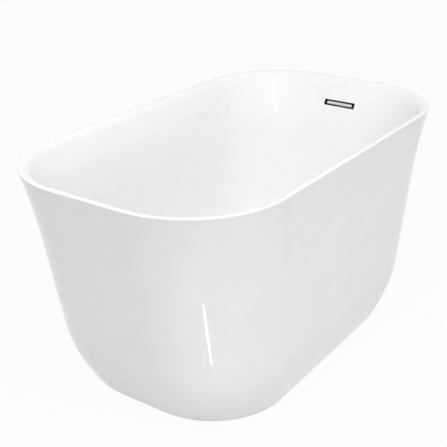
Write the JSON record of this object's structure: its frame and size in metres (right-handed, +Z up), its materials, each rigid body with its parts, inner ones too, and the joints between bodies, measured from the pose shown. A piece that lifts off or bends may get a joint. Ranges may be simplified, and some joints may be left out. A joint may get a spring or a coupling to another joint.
{
  "type": "freestanding bathtub",
  "caption": "Compact freestanding soaking bathtub with flared oval-rectangular shell, slot overflow, click plug waste and adjustable feet.",
  "frame": {"origin": "on the floor under the middle of the tub", "axes": "+X along the tub to the foot end, which has the overflow slot and the waste; +Y to the bather's left; +Z up"},
  "size_m": [1.1986, 0.6794, 0.6],
  "materials": {
    "acrylic": "polished white cast acrylic",
    "glass_fibre": "sprayed glass fibre and resin, rough",
    "seam_adhesive": "white acrylic seam adhesive, sanded flush",
    "plywood": "raw plywood, sealed with resin",
    "powder_coated_steel": "black powder coat",
    "zinc_plated_steel": "bright zinc plating",
    "foot_plastic": "moulded black polyamide",
    "chrome": "polished chrome plating",
    "black_plastic": "moulded black ABS",
    "brass": "turned brass",
    "stainless_steel": "stainless steel, plain",
    "rubber": "moulded black rubber",
    "waste_plastic": "moulded white polypropylene",
    "hose_plastic": "grey corrugated polypropylene"
  },
  "bodies": {
    "root": {"basin": "acrylic", "skirt": "acrylic", "basin_backing": "glass_fibre", "skirt_backing": "glass_fibre", "rim_bond": "seam_adhesive", "base_board": "plywood", "rail_left": "powder_coated_steel", "rail_right": "powder_coated_steel", "crossbar_at_head": "powder_coated_steel", "crossbar_at_foot": "powder_coated_steel", "board_screws": "zinc_plated_steel", "skirt_brackets": "zinc_plated_steel", "rail_screws": "zinc_plated_steel", "flange_bolts": "zinc_plated_steel", "flange_nuts": "zinc_plated_steel", "leg_nuts": "zinc_plated_steel", "lock_nuts": "zinc_plated_steel", "rail_caps": "foot_plastic", "waste_flange": "chrome", "overflow_blade": "chrome", "overflow_trim": "black_plastic", "plug_cartridge": "brass", "plug_spring": "stainless_steel", "overflow_screws": "stainless_steel", "hose_clips": "stainless_steel", "waste_seal": "rubber", "tub_gasket": "rubber", "tail_washer": "rubber", "overflow_gasket": "rubber", "waste_body": "waste_plastic", "tailpiece": "waste_plastic", "tail_nut": "waste_plastic", "overflow_box": "waste_plastic", "overflow_hose": "hose_plastic"},
    "plug": {"plug_cap": "chrome", "plug_stem": "brass", "plug_seal": "rubber"},
    "pad_head_left": {"pad_head_left": "foot_plastic"},
    "stud_head_left": {"stud_head_left": "zinc_plated_steel"},
    "pad_head_right": {"pad_head_right": "foot_plastic"},
    "stud_head_right": {"stud_head_right": "zinc_plated_steel"},
    "pad_foot_left": {"pad_foot_left": "foot_plastic"},
    "stud_foot_left": {"stud_foot_left": "zinc_plated_steel"},
    "pad_foot_right": {"pad_foot_right": "foot_plastic"},
    "stud_foot_right": {"stud_foot_right": "zinc_plated_steel"}
  },
  "joints": [
    {"name": "plug_lift", "type": "slide", "parent": "root", "child": "plug", "axis": [0, 0, 1], "range_m": [0, 0.009], "deforming": ["plug_spring"]},
    {"name": "extend_head_left", "type": "slide", "parent": "root", "child": "pad_head_left", "axis": [0, 0, -1], "range_m": [-0.006, 0.02]},
    {"name": "turn_head_left", "type": "hinge", "parent": "pad_head_left", "child": "stud_head_left", "pos_m": [-0.31, 0.17, 0], "axis": [0, 0, -1], "range_deg": [-1240, 4120]},
    {"name": "extend_head_right", "type": "slide", "parent": "root", "child": "pad_head_right", "axis": [0, 0, -1], "range_m": [-0.006, 0.02]},
    {"name": "turn_head_right", "type": "hinge", "parent": "pad_head_right", "child": "stud_head_right", "pos_m": [-0.31, -0.17, 0], "axis": [0, 0, -1], "range_deg": [-1240, 4120]},
    {"name": "extend_foot_left", "type": "slide", "parent": "root", "child": "pad_foot_left", "axis": [0, 0, -1], "range_m": [-0.006, 0.02]},
    {"name": "turn_foot_left", "type": "hinge", "parent": "pad_foot_left", "child": "stud_foot_left", "pos_m": [0.31, 0.17, 0], "axis": [0, 0, -1], "range_deg": [-1240, 4120]},
    {"name": "extend_foot_right", "type": "slide", "parent": "root", "child": "pad_foot_right", "axis": [0, 0, -1], "range_m": [-0.006, 0.02]},
    {"name": "turn_foot_right", "type": "hinge", "parent": "pad_foot_right", "child": "stud_foot_right", "pos_m": [0.31, -0.17, 0], "axis": [0, 0, -1], "range_deg": [-1240, 4120]}
  ],
  "couplings": [
    {"joint": "turn_head_left", "follows": "extend_head_left", "rad_per_m": 3590.4},
    {"joint": "turn_head_right", "follows": "extend_head_right", "rad_per_m": 3590.4},
    {"joint": "turn_foot_left", "follows": "extend_foot_left", "rad_per_m": 3590.4},
    {"joint": "turn_foot_right", "follows": "extend_foot_right", "rad_per_m": 3590.4}
  ]
}
